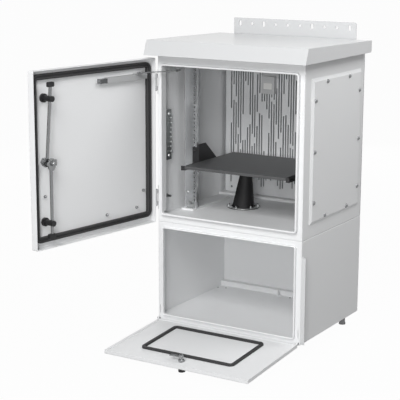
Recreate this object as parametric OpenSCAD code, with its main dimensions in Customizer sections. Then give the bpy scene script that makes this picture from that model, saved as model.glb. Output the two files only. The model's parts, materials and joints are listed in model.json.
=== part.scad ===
// Two-compartment outdoor equipment cabinet of folded and welded sheet steel.
// Millimetres, +Z up, front towards -Y, origin on the ground under the middle of the body.
// The upper door and the lower flap are drawn open; their pieces are laid out closed and then swung.

/* [Body] */
// Width of both cabinet bodies
body_w = 600; // [560:1:680]
// Depth of both cabinet bodies
body_d = 490; // [450:1:560]
// Height of the lower body, up to the seam
lower_h = 381; // [360:1:420]
// Height of the upper body, from the seam to its top
upper_h = 663; // [645:1:720]
// Thickness of the body and door sheet
sheet = 2; // [1.5:0.1:2.5]
// Outside radius of the folded edges
fold_r = 3; // [2.5:0.1:4]
// Height of the upper compartment's floor above the seam
upper_floor_rise = 25; // [20:0.5:26]
// Height of the lower compartment's floor above the body's lower edge
lower_floor_rise = 20; // [14:0.5:22]

/* [Feet] */
// Clear height under the body
foot_h = 56; // [56:0.5:80]
// Diameter of a foot
foot_d = 22; // [18:1:30]
// Distance of the rear feet from the body's sides
foot_side_rear = 54; // [40:1:100]
// Distance of the front feet from the body's sides
foot_side_front = 100; // [40:1:150]
// Distance of the feet from the front and rear faces
foot_inset = 19; // [16:1:40]

/* [Upper opening] */
// Width of the front beside the upper opening
upper_side = 24.5; // [22:0.5:30]
// Height of the opening's lower edge above the seam
upper_sill = 35.5; // [34:0.5:40]
// Height of the front above the upper opening
upper_head = 79.5; // [70:0.5:90]
// Width of the raised rim round the upper opening
upper_rim_w = 7.5; // [6:0.5:9]
// How far the upper rim stands out of the front
upper_rim_out = 14; // [12:0.5:15]
// Depth of the returns behind the sides of the upper opening
return_depth = 16; // [8:0.5:20]

/* [Lower opening] */
// Width of the front beside the lower opening
lower_side = 26; // [24:0.5:32]
// Height of the opening's lower edge above the body's lower edge
lower_sill = 26.5; // [25:0.5:30]
// Height of the front above the lower opening
lower_head = 23; // [18:0.5:28]
// Width of the raised rim round the lower opening
lower_rim_w = 6; // [5:0.5:8]
// How far the lower rim stands out of the front
lower_rim_out = 10; // [8:0.5:12]
// Corner radius of both openings
open_r = 6; // [5:0.5:12]

/* [Roof] */
// Overhang of the roof at each side
roof_side = 27; // [15:1:45]
// Overhang of the roof's front edge at its top fold
roof_front_top = 31; // [20:1:45]
// Overhang of the roof's front edge at its lower lip
roof_front_bottom = 53; // [46:1:70]
// Height of the roof's edges
fascia_h = 54; // [46:1:62]
// How far the roof falls from front to rear
roof_fall = 10; // [4:0.5:16]
// Gap between the body's top and the roof at the rear
roof_rear_gap = 2; // [1:0.5:6]
// Corner radius at the rear ends of the roof's sides
roof_end_r = 9; // [5:0.5:14]
// Width of each wedge under the roof
wedge_w = 30; // [20:1:50]

/* [Mounting flange] */
// Distance of the flange's ends from the body's sides
flange_side = 38; // [20:1:60]
// Thickness of the flange
flange_t = 3; // [2:0.5:5]
// Height of the flange above the roof's rear edge
flange_rise = 62; // [52:1:80]
// Length of the flange below the roof, against the back
flange_tail = 150; // [110:1:220]
// Distance of the outer holes from the flange's ends
flange_end = 28; // [18:0.5:40]
// Diameter of the holes and width of the slots
flange_hole_d = 10; // [8:0.5:13]
// Overall length of the slots
flange_slot_l = 20; // [16:1:26]
// Distance of the hole row from the flange's top edge
flange_hole_drop = 21; // [17:0.5:26]
// Corner radius of the flange
flange_r = 5; // [3:0.5:12]

/* [Side cover] */
// Distance of the right side's screwed cover from the front
cover_front = 50; // [40:1:70]
// Distance of the cover from the rear
cover_rear = 33; // [25:1:60]
// Distance of the cover from the body's top
cover_head = 98; // [80:1:120]
// How far the cover stands out
cover_t = 7; // [4:0.5:10]
// Width of the cover's sloping edge
cover_edge = 11; // [8:0.5:16]
// Height of the cover's lower edge above the seam
cover_z = 49; // [40:1:80]
// Diameter of the cover's screw heads
cover_screw_d = 16; // [10:0.5:18]
// Distance of the screws from the cover's edges
cover_screw_inset = 22; // [20:0.5:30]

/* [Door] */
// Opening angle at which the door is drawn, its stay's stop
door_angle = 99; // [90:0.5:105]
// Distance of the door's top from the body's top
door_head = 51.5; // [45:0.5:60]
// Gap between the door and the seam below it
door_gap_z = 1.5; // [1:0.5:3]
// How far the door stays inside the body's sides
door_inset = 3; // [2:0.5:5]
// Depth of the door's folded edges
door_depth = 28; // [26:0.5:32]
// Gap between the closed door's edges and the front
door_gap = 2; // [1.5:0.1:3]
// Outside radius of the door's corners
door_r = 5; // [3:0.5:9]
// Width of the door's gasket
gasket_w = 19; // [14:0.5:21]
// Gap between the gasket and the rim when the door is closed
gasket_gap = 0.4; // [0.3:0.1:1]

/* [Door hinges] */
// How far the hinge axis stands out from the body's side
hinge_out_x = 4; // [4:0.1:5]
// How far the hinge axis stands out from the front
hinge_out_y = 7; // [6.5:0.1:8]
// Radius of the hinge knuckles
knuckle_r = 5; // [4:0.1:5]
// Diameter of the hinge pins
hinge_pin_d = 6; // [4:0.1:6]
// Length of a hinge leaf
hinge_h = 90; // [70:1:110]
// Length of the three knuckles together
knuckle_h = 60; // [45:1:66]
// Distance of the hinges from the door's ends
hinge_inset = 90; // [75:1:130]
// Length of the hinge leaf on the body's side
leaf_l = 30; // [20:1:40]

/* [Door lock] */
// Distance of the lock's spindle from the opening's edge
lock_inset = 41.5; // [38:0.5:48]
// How far the lock lies below the door's middle
lock_drop = 7.5; // [0:0.5:20]
// Diameter of the lock's spindle
spindle_d = 10; // [8:0.5:12]
// Arm of the cam that drives the upper rod, and the rod's travel
cam_up = 20; // [16:0.5:22]
// Arm of the cam that drives the lower rod, and the rod's travel
cam_down = 12; // [10:0.5:12.5]
// Thickness of the cam and of the rods
strip_t = 3; // [2:0.1:3]
// Width of the rods
rod_w = 12; // [10:0.5:14]
// How far the upper rod runs behind the front's sheet
rod_behind = 3.5; // [3:0.1:4]
// Gap between the cam and each rod, layer by layer
layer_gap = 1; // [0.6:0.1:1]
// Distance from the upper shoe to its guide
guide_up_gap = 43; // [36:0.5:60]
// Distance from the lower shoe to its guide
guide_down_gap = 40; // [36:0.5:60]
// Diameter of the rod guides
guide_d = 20; // [18:0.5:24]
// Diameter of the guides' base discs
guide_base_d = 30; // [26:0.5:36]
// How far the guides stand past the rods
guide_past = 8; // [6:0.5:10]
// Lean of the upper rod
rod_lean = 5; // [3:0.1:6]
// Width of the shoes at the rods' ends
shoe_w = 30; // [22:0.5:34]
// Height of the shoes
shoe_h = 13; // [8:0.5:14]
// Thickness of the shoes
shoe_t = 7; // [6:0.2:7.4]
// Gap between the upper shoe and the opening's upper edge
shoe_gap_up = 11.5; // [9:0.5:12]
// Gap between the lower shoe and the opening's lower edge
shoe_gap_down = 3.5; // [3:0.1:4]
// Length of the handle's lever
lever_l = 120; // [90:1:150]
// Distance from the spindle to the handle's lower screw
handle_screw_drop = 120; // [100:1:140]

/* [Door stay] */
// Distance from the hinge axis to the stay's slider, door open
stay_open_s = 92; // [85:0.5:100]
// How far the stay's pivot lies right of the hinge axis
stay_pivot_x = 69; // [66:0.5:76]
// How far the stay's pivot lies behind the hinge axis
stay_pivot_y = 36; // [34:0.5:40]
// Distance from the opening's upper edge down to the stay's arm
stay_drop = 21.5; // [20:0.5:28]
// Width of the stay's arm
stay_w = 8; // [6:0.5:10]
// Diameter of the stay's pivot
stay_pin_d = 5; // [4:0.1:6]
// Height of the stay's channel
channel_h = 20; // [16:0.5:22]
// Depth of the stay's channel
channel_d = 16; // [14:0.5:17]
// Length of the stay's end block
stay_block_l = 36; // [20:1:45]
// Thickness of the slider's tab above the channel
stay_tab_t = 3; // [2:0.1:4]

/* [Flap] */
// Opening angle at which the flap is drawn, its stop
flap_angle = 93.5; // [90:0.1:94]
// Distance of the flap's ends from the body's sides
flap_side = 7; // [6:0.1:9]
// Distance of the closed flap's upper edge from the seam
flap_head = 16.3; // [14:0.1:20]
// Thickness of the flap
flap_t = 14; // [12:0.5:14]
// Height of the closed flap's lower edge above the body's lower edge
flap_z = 3.7; // [3:0.1:5]
// Gap between the closed flap and the lower rim
flap_gap = 1; // [0.6:0.1:2]
// Thickness of the flap's two sheets
flap_sheet = 1.5; // [1:0.1:2]
// Diameter of the flap's hinge pins
flap_pin_d = 5; // [4:0.1:5]
// Radius of the flap's hinge ears
ear_r = 5; // [4.5:0.1:5.5]
// Thickness of the flap's hinge ears and lugs
ear_t = 3; // [2:0.1:3]
// Width of the folded hem round the flap's inner face
flap_hem = 11; // [8:0.5:14]
// Distance of the flap's gasket frame from the flap's ends
flap_gasket_side = 103; // [80:1:140]
// Distance of the gasket frame from the flap's free edge
flap_gasket_head = 76; // [70:1:100]
// Distance of the gasket frame from the flap's hinge edge
flap_gasket_z = 50; // [40:1:56]
// Width of the flap's gasket strip
flap_gasket_s = 12; // [8:0.5:14]
// Height of the flap's gasket strip
flap_gasket_t = 8; // [5:0.5:9]
// Offset of the flap's lock from the middle
flap_lock_x = 8; // [-20:1:20]
// Distance of the flap's lock from the free edge
flap_lock_edge = 39; // [34:1:42]
// Length of the flap lock's cam
flap_cam_l = 45; // [40:1:50]
// Diameter of the flap lock's knob
flap_knob_d = 25; // [20:0.5:30]
// Gap between the open flap's knob and the ground
flap_knob_clear = 2; // [1:0.5:10]

/* [Side strip] */
// Width of the strip at the lower body's right front edge
strip_w = 15; // [8:0.5:20]
// Distance of the strip's top from the seam
strip_head = 58.5; // [40:0.5:90]

/* [Rack rails] */
// Gap between the rails and the body's sides
rail_side = 24.95; // [20:0.05:30]
// Height of one rack unit
rack_unit = 44.45; // [44:0.05:45]
// Diameter of the rail holes
rail_hole_d = 7.5; // [5:0.1:8]
// Width of the rails' front
rail_w = 52; // [46:0.5:54]
// Depth of the rails
rail_d = 50; // [30:1:60]
// Distance from the hole row to the rail's inner edge
rail_edge = 9.5; // [8:0.5:11]
// How far the rails lie behind the front
rail_back = 147; // [140:1:180]
// Height of the rail channels on floor and ceiling
rail_channel_h = 6; // [5:0.5:14]

/* [Back plate] */
// Distance of the slotted plate from the body's sides
plate_side = 15; // [8:0.5:30]
// Gap between the floor and the plate
plate_z = 11; // [8:0.5:20]
// Gap between the plate's top and the ceiling
plate_top_gap = 40; // [20:1:60]
// Gap between the plate and the back wall
plate_stand = 15; // [10:0.5:20]
// Pitch of the plate's slot columns
slot_pitch = 10.6; // [10.6:0.1:14]
// Width of the plate's slots
slot_w = 5.2; // [2:0.1:5.6]

/* [Shelf] */
// Gap between the shelf and the rails' inner edges
shelf_side = 12.05; // [8:0.05:20]
// Distance of the shelf's rear edge from the cabinet's rear
shelf_rear = 90; // [70:1:150]
// How far the shelf's front lies behind the cabinet's front
shelf_back = 40; // [30:1:60]
// Height of the shelf's top above the upper floor
shelf_z = 187; // [160:1:250]
// Height of the shelf's folded edges
shelf_fold = 11; // [8:0.5:14]
// Height of the shelf's brackets above the shelf
bracket_rise = 66; // [50:1:90]
// Length of the brackets' triangles behind the rails
bracket_l = 125; // [100:1:160]

/* [Cable boot] */
// Sideways place of the cable boot
boot_x = -98; // [-110:1:-60]
// Distance of the cable boot from the cabinet's rear
boot_rear = 203; // [180:1:250]
// Diameter of the boot's clamping ring
boot_ring_d = 128; // [116:1:140]
// Outside diameter of the boot's foot
boot_d = 88; // [80:1:92]
// Outside diameter of the boot's top
boot_top_d = 46; // [40:1:56]
// Height of the boot
boot_h = 130; // [100:1:140]
// Thickness of the boot's wall
boot_wall = 4; // [3:0.1:6]
// Lean of the boot
boot_lean = 5; // [0:0.5:7]

/* [Small parts] */
// Length of the earth bar on the left wall
earth_bar_l = 188; // [150:1:200]
// Width of the earth bar
earth_bar_w = 34; // [24:1:40]
// Width of the control box on the plate
control_w = 56; // [45:1:70]
// Height of the control box
control_h = 68; // [50:1:80]
// Depth of the control box
control_d = 22; // [16:1:45]
// Distance of the control box from the plate's top
control_drop = 110; // [80:1:140]
// Height of the earth bar's middle above the seam
earth_bar_z = 322; // [250:1:400]
// Height of the earth stud above the seam
earth_stud_z = 90; // [60:1:140]
// Distance of the earth bar and stud from the front
earth_back = 50; // [46:1:80]

/* [Hidden] */
$fn = 64;
// Clearance round a shaft that turns in a hole
run_gap = 0.05;
// Clearance between parts that slide past each other
slide_gap = 0.4;
// Overlap that lets a cut pass clean through
cut = 1;

// Heights and planes of the body
z_body = foot_h;
z_seam = z_body + lower_h;
z_top = z_seam + upper_h;
y_front = -body_d / 2;
y_rear = body_d / 2;
z_upper_floor = z_seam + upper_floor_rise;
z_lower_floor = z_body + lower_floor_rise;
z_ceiling = z_top - sheet;
upper_open_w = body_w - 2 * upper_side;
upper_open_h = upper_h - upper_sill - upper_head;
lower_open_w = body_w - 2 * lower_side;
lower_open_h = lower_h - lower_sill - lower_head;
z_open_low = z_seam + upper_sill;
z_open_high = z_open_low + upper_open_h;
z_open_mid = (z_open_low + z_open_high) / 2;
z_lower_open = z_body + lower_sill;
z_lower_open_mid = z_lower_open + lower_open_h / 2;

// Roof
roof_top_rear = z_top + roof_rear_gap + sheet;
roof_top_front = roof_top_rear + roof_fall;
roof_front_y = y_front - roof_front_top;
roof_slope = roof_fall / (y_rear - sheet - roof_front_y);

// Door, closed: its hinge axis, skin and edges
hinge_x = -body_w / 2 - hinge_out_x;
hinge_y = y_front - hinge_out_y;
door_w = body_w - 2 * door_inset;
door_z = z_seam + door_gap_z;
door_h = upper_h - door_gap_z - door_head;
door_mid = door_z + door_h / 2;
door_lip_y = y_front - door_gap;
door_out_y = door_lip_y - door_depth;
door_skin_y = door_out_y + sheet;
rim_edge_y = y_front - upper_rim_out;
gasket_t = rim_edge_y - gasket_gap - door_skin_y;
rim_path_w = upper_open_w + upper_rim_w;
rim_path_h = upper_open_h + upper_rim_w;
rim_path_r = open_r + upper_rim_w / 2;

// Door lock: the rods run behind the front's sheet in two layers, the cam lies over them
lock_x = upper_open_w / 2 - lock_inset;
lock_z = door_mid - lock_drop;
rod_up_y = y_front + sheet + rod_behind;
rod_down_y = rod_up_y + strip_t + layer_gap;
cam_y = rod_down_y + strip_t + layer_gap;
guide_l = rod_down_y + strip_t + guide_past - door_skin_y;
pin_r = 5;
shoe_up_z = z_open_high - shoe_gap_up - shoe_h;
shoe_down_z = z_open_low + shoe_gap_down;
shoe_y = rod_up_y - 2;
shoe_grip = 4;
rod_up_x = lock_x + cam_up - 2;
rod_down_x = lock_x + 4;
guide_up_z = shoe_up_z - guide_up_gap;
guide_down_z = shoe_down_z + shoe_h + guide_down_gap;

// Door stay: its arm's length follows from the open door, its closed place from the arm
stay_pin_y = hinge_y;
stay_open_x = hinge_x - stay_open_s * sin(door_angle - 90);
stay_open_y = hinge_y - stay_open_s * cos(door_angle - 90);
stay_px = hinge_x + stay_pivot_x;
stay_py = hinge_y + stay_pivot_y;
stay_l = norm([stay_open_x - stay_px, stay_open_y - stay_py]);
stay_rest = atan2(stay_open_y - stay_py, stay_open_x - stay_px);
stay_z = z_open_high - stay_drop;
stay_t = 3;
channel_z = stay_z - 0.6 - stay_tab_t - slide_gap - channel_h;
channel_x0 = -rim_path_w / 2 + gasket_w / 2 + 6;
channel_x1 = hinge_x + stay_pivot_x + sqrt(stay_l * stay_l - stay_pivot_y * stay_pivot_y) + 27;

// Flap, closed: its hinge axis and faces
flap_in_y = y_front - lower_rim_out - flap_gap;
flap_out_y = flap_in_y - flap_t;
flap_low = z_body + flap_z;
flap_w = body_w - 2 * flap_side;
flap_h = lower_h - flap_z - flap_head;
flap_lock_z = flap_h - flap_lock_edge;
flap_gasket_w = flap_w - 2 * flap_gasket_side;
flap_gasket_h = flap_h - flap_gasket_z - flap_gasket_head;
flap_barrel_d = 16;
flap_axis_y = flap_in_y + 2;
flap_axis_z = flap_low + 4;
lug_x = flap_w / 2 + 0.5;
flap_cam_y = y_front + sheet + 2;
flap_knob_top = flap_axis_z + (flap_out_y - flap_axis_y) * sin(flap_angle)
    + (flap_low + flap_lock_z - flap_axis_z) * cos(flap_angle);
flap_knob_h = flap_knob_top - flap_knob_clear;

// Rails, shelf and plate
rail_out_x = body_w / 2 - rail_side;
rail_in_x = rail_out_x - rail_w;
rail_hole_x = rail_in_x + rail_edge;
shelf_w = 2 * (rail_in_x - shelf_side);
shelf_d = body_d - shelf_back - shelf_rear;
plate_w = body_w - 2 * plate_side;
boot_y = y_rear - boot_rear;
flange_w = body_w - 2 * flange_side;
flange_pitch = (flange_w - 2 * flange_end) / 9;
cover_l = body_d - cover_front - cover_rear;
cover_h = upper_h - cover_z - cover_head;
cover_y = (cover_front - cover_rear) / 2;
strip_z = z_body + flap_z;
strip_l = z_seam - strip_head - strip_z;
rail_y = y_front + rail_back;
rail_z = z_upper_floor + rail_channel_h;
rail_top = z_ceiling - rail_channel_h;
rail_first = rail_z + 8;
rail_units = floor((rail_top - rail_first) / rack_unit);
plate_y = y_rear - sheet - plate_stand - sheet;
plate_low = z_upper_floor + plate_z;
plate_high = z_ceiling - plate_top_gap;
shelf_top = z_upper_floor + shelf_z;
shelf_y = y_front + shelf_back;
bracket_t = 2;
bracket_x = shelf_w / 2 + bracket_t;
stand_x = plate_w / 2 - 60;
cover_mid_z = z_seam + cover_z + cover_h / 2;
flange_top = roof_top_rear + flange_rise;
flange_low = roof_top_rear - flange_tail;

// Rectangle with round corners about the origin
module round_rect(w, h, r) {
    square([w - 2 * r, h], center = true);
    square([w, h - 2 * r], center = true);
    for (x = [-1, 1], y = [-1, 1]) {
        translate([x * (w / 2 - r), y * (h / 2 - r)]) circle(r);
    }
}

// Flat piece in the plane of the front: drawn as X and Z, from y to y + t
module in_xz(y, t) {
    translate([0, y + t, 0]) rotate([90, 0, 0]) linear_extrude(t) children();
}

// Flat piece in the plane of a side: drawn as Y and Z, from x to x + t
module in_yz(x, t) {
    translate([x, 0, 0]) rotate([90, 0, 90]) linear_extrude(t) children();
}

// Box with rounded edges all round, from y to y + d and from z to z + h
module folded_box(w, y, d, z, h, r) {
    intersection() {
        translate([0, 0, z + h / 2]) in_xz(y, d) round_rect(w, h, r);
        translate([0, y + d / 2, z]) linear_extrude(h) round_rect(w, d, r);
        translate([0, y + d / 2, z + h / 2]) in_yz(-w / 2, w) round_rect(d, h, r);
    }
}

// Profile swept round a rectangle with round corners: the profile's x points outwards, its y up
module rect_sweep(w, h, r) {
    for (i = [0 : 3]) {
        a = i % 2 == 0 ? w : h;
        b = i % 2 == 0 ? h : w;
        rotate(90 * i) {
            translate([a / 2, b / 2 - r, 0]) rotate([90, 0, 0]) linear_extrude(b - 2 * r) children();
            translate([a / 2 - r, b / 2 - r, 0]) rotate_extrude(angle = 90) translate([r, 0]) children();
        }
    }
}

// Low dome on a flat face, along +Z
module dome(d, h) {
    cap_r = (d * d / 4 + h * h) / (2 * h);
    rotate_extrude() intersection() {
        translate([0, h - cap_r]) circle(cap_r, $fn = 128);
        square([d / 2, h]);
    }
}

// Turn a piece drawn along +Z to point along the named way
module to_front() { rotate([90, 0, 0]) children(); }
module to_rear() { rotate([-90, 0, 0]) children(); }
module to_right() { rotate([0, 90, 0]) children(); }

// Left and right copies of a piece drawn on the right
module both_sides() {
    children();
    mirror([1, 0, 0]) children();
}

// Swing a piece of the closed door to where the door stands
module on_door() {
    translate([hinge_x, hinge_y, 0]) rotate(-door_angle) translate([-hinge_x, -hinge_y, 0]) children();
}

// Swing a piece of the closed flap to where the flap lies
module on_flap() {
    translate([0, flap_axis_y, flap_axis_z]) rotate([flap_angle, 0, 0])
        translate([0, -flap_axis_y, -flap_axis_z]) children();
}

// Raised rim round an opening, rounded along its edge, on the front
module rim(w, h, r, width, out) {
    to_front() rect_sweep(w + width, h + width, r + width / 2) {
        union() {
            translate([-width / 2, 0]) square([width, out - width / 2]);
            translate([0, out - width / 2]) circle(width / 2);
        }
    }
}

// Welded body: sides, top, raised floor and front, open at the back and under the floor
module welded_body(z, h, floor_z, open_w, open_h, open_z) {
    difference() {
        folded_box(body_w, y_front, body_d - sheet, z, h, fold_r);
        translate([-body_w / 2 + sheet, y_front + sheet, floor_z])
            cube([body_w - 2 * sheet, body_d, z + h - sheet - floor_z]);
        translate([-body_w / 2 + sheet, y_front + sheet, z - cut])
            cube([body_w - 2 * sheet, body_d, floor_z - sheet - z + cut]);
        translate([0, 0, open_z + open_h / 2]) in_xz(y_front - cut, sheet + 2 * cut)
            round_rect(open_w, open_h, open_r);
        children();
    }
}

module boot_hole() {
    translate([boot_x, boot_y, z_seam - lower_h / 2])
        cylinder(d = boot_d - 2 * boot_wall, h = lower_h / 2 + upper_floor_rise + cut);
}

module lower_body() {
    slot_h = 33;
    color("gainsboro") {
        welded_body(z_body, lower_h, z_lower_floor, lower_open_w, lower_open_h, z_lower_open) {
            boot_hole();
            for (side = [-1, 1]) {
                translate([side * (body_w / 2 - 8) - 1, y_front - cut, z_body + lower_sill])
                    cube([2, sheet + 2 * cut, slot_h]);
            }
        }
        translate([0, y_front, z_lower_open_mid])
            rim(lower_open_w, lower_open_h, open_r, lower_rim_w, lower_rim_out);
    }
}

module upper_body() {
    color("gainsboro") {
        welded_body(z_seam, upper_h, z_upper_floor, upper_open_w, upper_open_h, z_open_low) boot_hole();
        translate([0, y_front, z_open_mid])
            rim(upper_open_w, upper_open_h, open_r, upper_rim_w, upper_rim_out);
        both_sides() translate([upper_open_w / 2, y_front + sheet, z_open_low + open_r])
            cube([sheet, return_depth, upper_open_h - 2 * open_r]);
    }
}

// Back sheet of a body, with rounded upright edges
module back_sheet(z, h) {
    translate([0, 0, z + h / 2]) in_xz(y_rear - sheet, sheet) round_rect(body_w, h, fold_r);
}

module lower_back() { color("gainsboro") back_sheet(z_body, lower_h); }
module upper_back() { color("gainsboro") back_sheet(z_seam, upper_h); }

module feet() {
    color("dimgray") for (side = [-1, 1], rear = [0, 1]) {
        x = side * (body_w / 2 - (rear == 1 ? foot_side_rear : foot_side_front));
        y = (rear == 1 ? 1 : -1) * (body_d / 2 - foot_inset);
        translate([x, y, 0]) {
            cylinder(d = foot_d + 4, h = 6);
            translate([0, 0, 6]) cylinder(d = foot_d, h = z_lower_floor - sheet - 6);
        }
    }
}

// Outline of the roof's side: sloping top, leaning front, rounded rear end
module roof_outline() {
    y_end = y_rear - sheet;
    z_low = roof_top_front - fascia_h;
    difference() {
        polygon([
            [roof_front_y, roof_top_front],
            [y_front - roof_front_bottom, z_low],
            [y_end, z_low],
            [y_end, roof_top_rear]
        ]);
        translate([y_end - roof_end_r, z_low]) difference() {
            translate([0, -cut]) square([roof_end_r + cut, roof_end_r + cut]);
            translate([0, roof_end_r]) circle(roof_end_r);
        }
    }
}

// Roof hood: one sheet folded over the front and both sides, open at the rear and below
module roof() {
    half = body_w / 2 + roof_side;
    y_end = y_rear - sheet;
    lean = (roof_front_bottom - roof_front_top) / fascia_h;
    color("whitesmoke") difference() {
        in_yz(-half, 2 * half) roof_outline();
        in_yz(-half + sheet, 2 * half - 2 * sheet) polygon([
            [roof_front_y + sheet, roof_top_front - sheet - roof_slope * sheet],
            [roof_front_y + sheet - lean * (fascia_h + cut - sheet), roof_top_front - fascia_h - cut],
            [y_end + cut, roof_top_front - fascia_h - cut],
            [y_end + cut, roof_top_rear - sheet]
        ]);
    }
}

// Wedges that carry the sloping roof on the flat top
module roof_wedges() {
    y0 = y_front + 20;
    y1 = y_rear - 20;
    color("gainsboro") both_sides() in_yz(body_w / 2 - 60, wedge_w) polygon([
        [y0, z_top],
        [y1, z_top],
        [y1, roof_top_rear - sheet + roof_slope * (y_rear - sheet - y1)],
        [y0, roof_top_rear - sheet + roof_slope * (y_rear - sheet - y0)]
    ]);
}

// Hole places of the flange, in pitches from the middle, and those of them that are slots
flange_places = [-4.5, -3.5, -2.5, -1.5, -0.5, 0.5, 1.5, 2.5, 3.5, 4.5];
flange_slots = [-4.5, -2.5, 1.5, 4.5];
flange_bolt_places = [-3.5, 0, 3.5];

module rear_flange() {
    mid_z = (flange_top + flange_low) / 2;
    hole_z = flange_top - flange_hole_drop;
    color("whitesmoke") difference() {
        translate([0, 0, mid_z]) in_xz(y_rear, flange_t)
            round_rect(flange_w, flange_top - flange_low, flange_r);
        for (p = flange_places) {
            half = len(search(p, flange_slots)) > 0 ? (flange_slot_l - flange_hole_d) / 2 : 0;
            translate([p * flange_pitch, y_rear - cut, hole_z]) {
                for (z = [-half, half]) {
                    translate([0, 0, z]) to_rear() cylinder(d = flange_hole_d, h = flange_t + 2 * cut);
                }
                translate([-flange_hole_d / 2, 0, -half])
                    cube([flange_hole_d, flange_t + 2 * cut, 2 * half + 0.001]);
            }
        }
    }
}

module flange_bolts() {
    color("silver") for (p = flange_bolt_places, row = [35, 80]) {
        translate([p * flange_pitch, y_rear + flange_t, flange_low + row]) to_rear() {
            cylinder(d = 20, h = 1.6);
            translate([0, 0, 1.6]) cylinder(d = 15, h = 6.4, $fn = 6);
        }
    }
}

// Raised cover on the right side with sloping edges and mitred corners
module side_cover() {
    color("gainsboro") translate([body_w / 2, cover_y, cover_mid_z]) intersection() {
        in_yz(0, cover_t) round_rect(cover_l, cover_h, 4);
        translate([0, 0, -cover_h / 2]) linear_extrude(cover_h) polygon([
            [0, -cover_l / 2], [0, cover_l / 2],
            [1, cover_l / 2], [cover_t, cover_l / 2 - cover_edge],
            [cover_t, -cover_l / 2 + cover_edge], [1, -cover_l / 2]
        ]);
        translate([0, cover_l / 2, 0]) rotate([90, 0, 0]) linear_extrude(cover_l) polygon([
            [0, -cover_h / 2], [0, cover_h / 2],
            [1, cover_h / 2], [cover_t, cover_h / 2 - cover_edge],
            [cover_t, -cover_h / 2 + cover_edge], [1, -cover_h / 2]
        ]);
    }
}

// Screw places on the cover: two along each short edge, three along each long edge
cover_half_l = cover_l / 2 - cover_screw_inset;
cover_half_h = cover_h / 2 - cover_screw_inset;
function cover_screws() = concat(
    [for (y = [-0.5, 0.5], z = [-1, 1]) [y * cover_half_l, z * (cover_half_h + 5)]],
    [for (y = [-1, 1], z = [-1, 0, 1]) [y * cover_half_l, z * (cover_half_h - 2.5 * cover_screw_inset)]]
);

module side_cover_screws() {
    color("dimgray") for (p = cover_screws()) {
        translate([body_w / 2 + cover_t, cover_y + p[0], cover_mid_z + p[1]]) to_right()
            dome(cover_screw_d, 6);
    }
}

// Angle strip that stands out at the lower body's right front edge
module side_strip() {
    corner = strip_w * 0.4;
    color("whitesmoke") {
        difference() {
            translate([body_w / 2, y_front + fold_r, strip_z]) cube([strip_w, sheet, strip_l]);
            translate([body_w / 2 + strip_w - corner, y_front, strip_z + strip_l - corner]) difference() {
                cube([corner + cut, 3 * fold_r, corner + cut]);
                to_rear() cylinder(r = corner, h = 3 * fold_r);
            }
        }
        translate([body_w / 2, y_front + fold_r + sheet, strip_z]) cube([sheet, strip_w + 3, strip_l]);
    }
}

// Folded sill along the back of the lower floor
module rear_sill() {
    sill_h = 20;
    sill_d = 26;
    y = y_rear - sheet - sill_d;
    color("gainsboro") translate([-body_w / 2 + sheet, y, z_lower_floor]) difference() {
        cube([body_w - 2 * sheet, sill_d, sill_h]);
        translate([-cut, sheet, -cut]) cube([body_w, sill_d, sill_h - sheet + cut]);
    }
}

// Upright earthing tab in front of the sill
module earth_tab() {
    color("lightgray") translate([-26, y_rear - 50, z_lower_floor]) {
        cube([14, 18, 2]);
        in_yz(0, 2) polygon([[0, 2], [18, 2], [18, 12], [12, 30], [6, 30], [0, 12]]);
    }
}

// Angle along the back of the upper floor
module floor_angle() {
    color("gainsboro") translate([-body_w / 2 + sheet, y_rear - sheet - 45, z_upper_floor]) {
        difference() {
            cube([body_w - 2 * sheet, 45, plate_z - 1]);
            translate([-cut, sheet, -cut]) cube([body_w, 45, plate_z - 1 - sheet + cut]);
        }
    }
}

// Channels that hold the rails, on the floor and under the ceiling
module rail_channels() {
    y0 = rail_y - 24;
    y1 = y_rear - 2 * shelf_back;
    color("gainsboro") both_sides() for (z = [z_upper_floor, z_ceiling - rail_channel_h]) {
        translate([rail_in_x, y0, z]) difference() {
            cube([rail_w, y1 - y0, rail_channel_h]);
            translate([sheet, sheet, z == z_upper_floor ? -cut : sheet])
                cube([rail_w - 2 * sheet, y1 - y0, rail_channel_h - sheet + cut]);
        }
    }
}

// Places of the rail holes within one unit
rack_holes = [6.35, 22.225, 38.1];

// Rack rail: angle with a row of holes near its inner edge
module rack_rail() {
    color("lightgray") difference() {
        union() {
            translate([rail_in_x, rail_y, rail_z]) cube([rail_w, sheet, rail_top - rail_z]);
            translate([rail_out_x - sheet, rail_y, rail_z]) cube([sheet, rail_d, rail_top - rail_z]);
            translate([rail_in_x, rail_y, rail_z]) cube([sheet, 14, rail_top - rail_z]);
        }
        for (u = [0 : rail_units - 1], h = rack_holes) {
            translate([rail_hole_x, rail_y - cut, rail_first + u * rack_unit + h * rack_unit / 44.45])
                to_rear() cylinder(d = rail_hole_d, h = sheet + 2 * cut);
        }
    }
}

module left_rail() { mirror([1, 0, 0]) rack_rail(); }
module right_rail() { rack_rail(); }

// Angles that fix the rails to the floor channels, with the screws in the rails' fronts
module rail_fixings() {
    color("silver") both_sides() {
        for (z = [rail_z + 60, rail_top - 60]) {
            translate([rail_out_x - 14, rail_y, z]) to_front() dome(9, 3);
        }
        translate([rail_in_x + 6, rail_y - 16, rail_z]) cube([rail_w - 20, 16, 2]);
        translate([rail_in_x + 6, rail_y - 2, rail_z + 2]) cube([rail_w - 20, 2, 24]);
    }
}

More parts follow.
